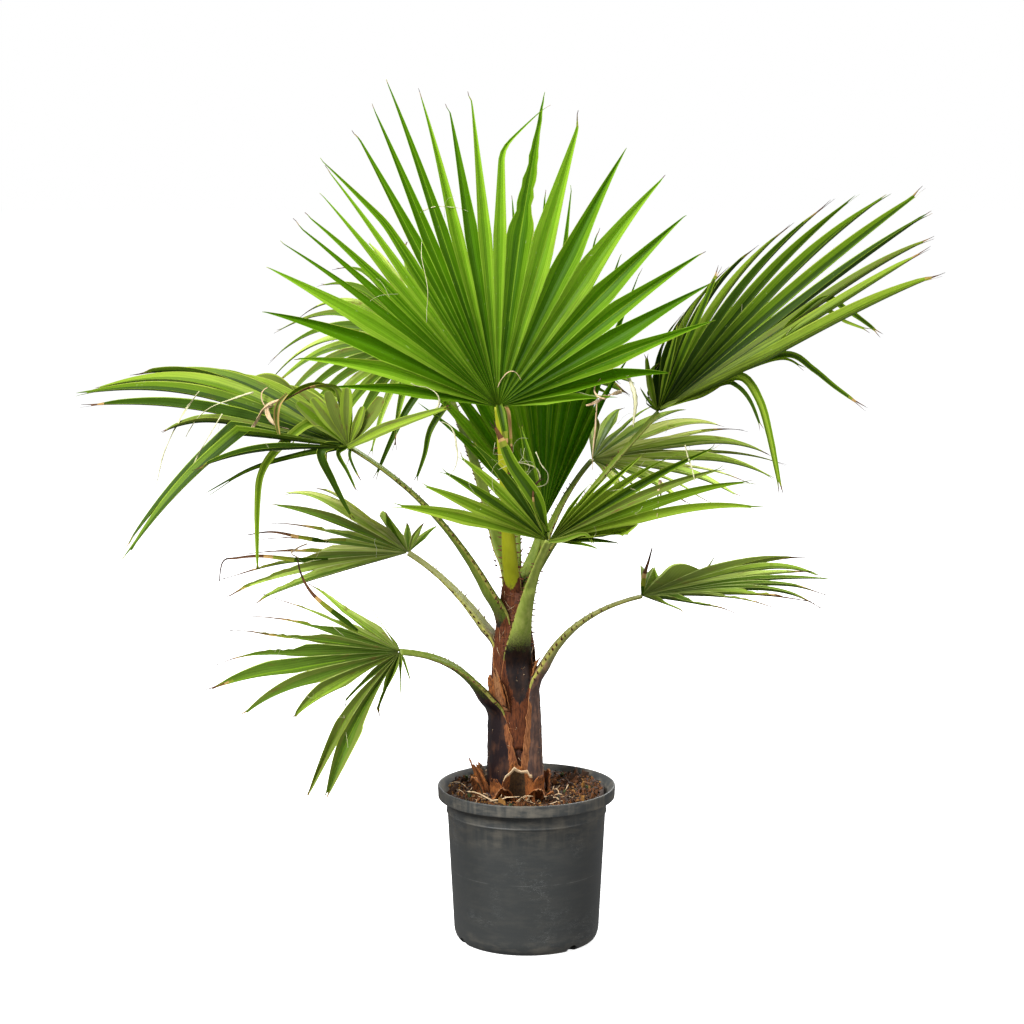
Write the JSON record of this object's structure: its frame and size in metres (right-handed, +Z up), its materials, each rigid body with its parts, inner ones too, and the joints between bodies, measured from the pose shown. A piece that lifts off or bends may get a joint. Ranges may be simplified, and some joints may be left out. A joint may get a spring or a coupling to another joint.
{
  "type": "potted mexican fan palm",
  "caption": "Young fan palm in a round nursery pot: fan blades on thorny petioles round a short trunk of wrapped leaf bases.",
  "frame": {"origin": "middle of the pot's flat underside", "axes": "+Z up; -Y towards the side that the picture shows, +X to its right"},
  "size_m": [1.247, 0.8955, 1.2707],
  "materials": {
    "pot": "satin",
    "soil": "matte",
    "trunk": "matte",
    "husk": "matte",
    "petiole": "satin",
    "blade": "satin"
  },
  "bodies": {
    "root": {"pot": "pot", "soil": "soil", "trunk": "trunk", "husk_1": "husk", "husk_2": "husk", "husk_3": "husk", "husk_4": "husk", "husk_5": "husk", "husk_6": "husk", "petiole_upright": "petiole", "petiole_rear_upright": "petiole", "petiole_upper_right": "petiole", "petiole_upper_left": "petiole", "petiole_middle_left": "petiole", "petiole_lower_left": "petiole", "petiole_lower_right": "petiole", "petiole_front": "petiole", "petiole_middle_right": "petiole", "petiole_rear_left": "petiole", "petiole_rear": "petiole", "blade_upright": "blade", "blade_rear_upright": "blade", "blade_upper_right": "blade", "blade_upper_left": "blade", "blade_middle_left": "blade", "blade_lower_left": "blade", "blade_lower_right": "blade", "blade_front": "blade", "blade_middle_right": "blade", "blade_rear_left": "blade", "blade_rear": "blade"}
  },
  "joints": []
}
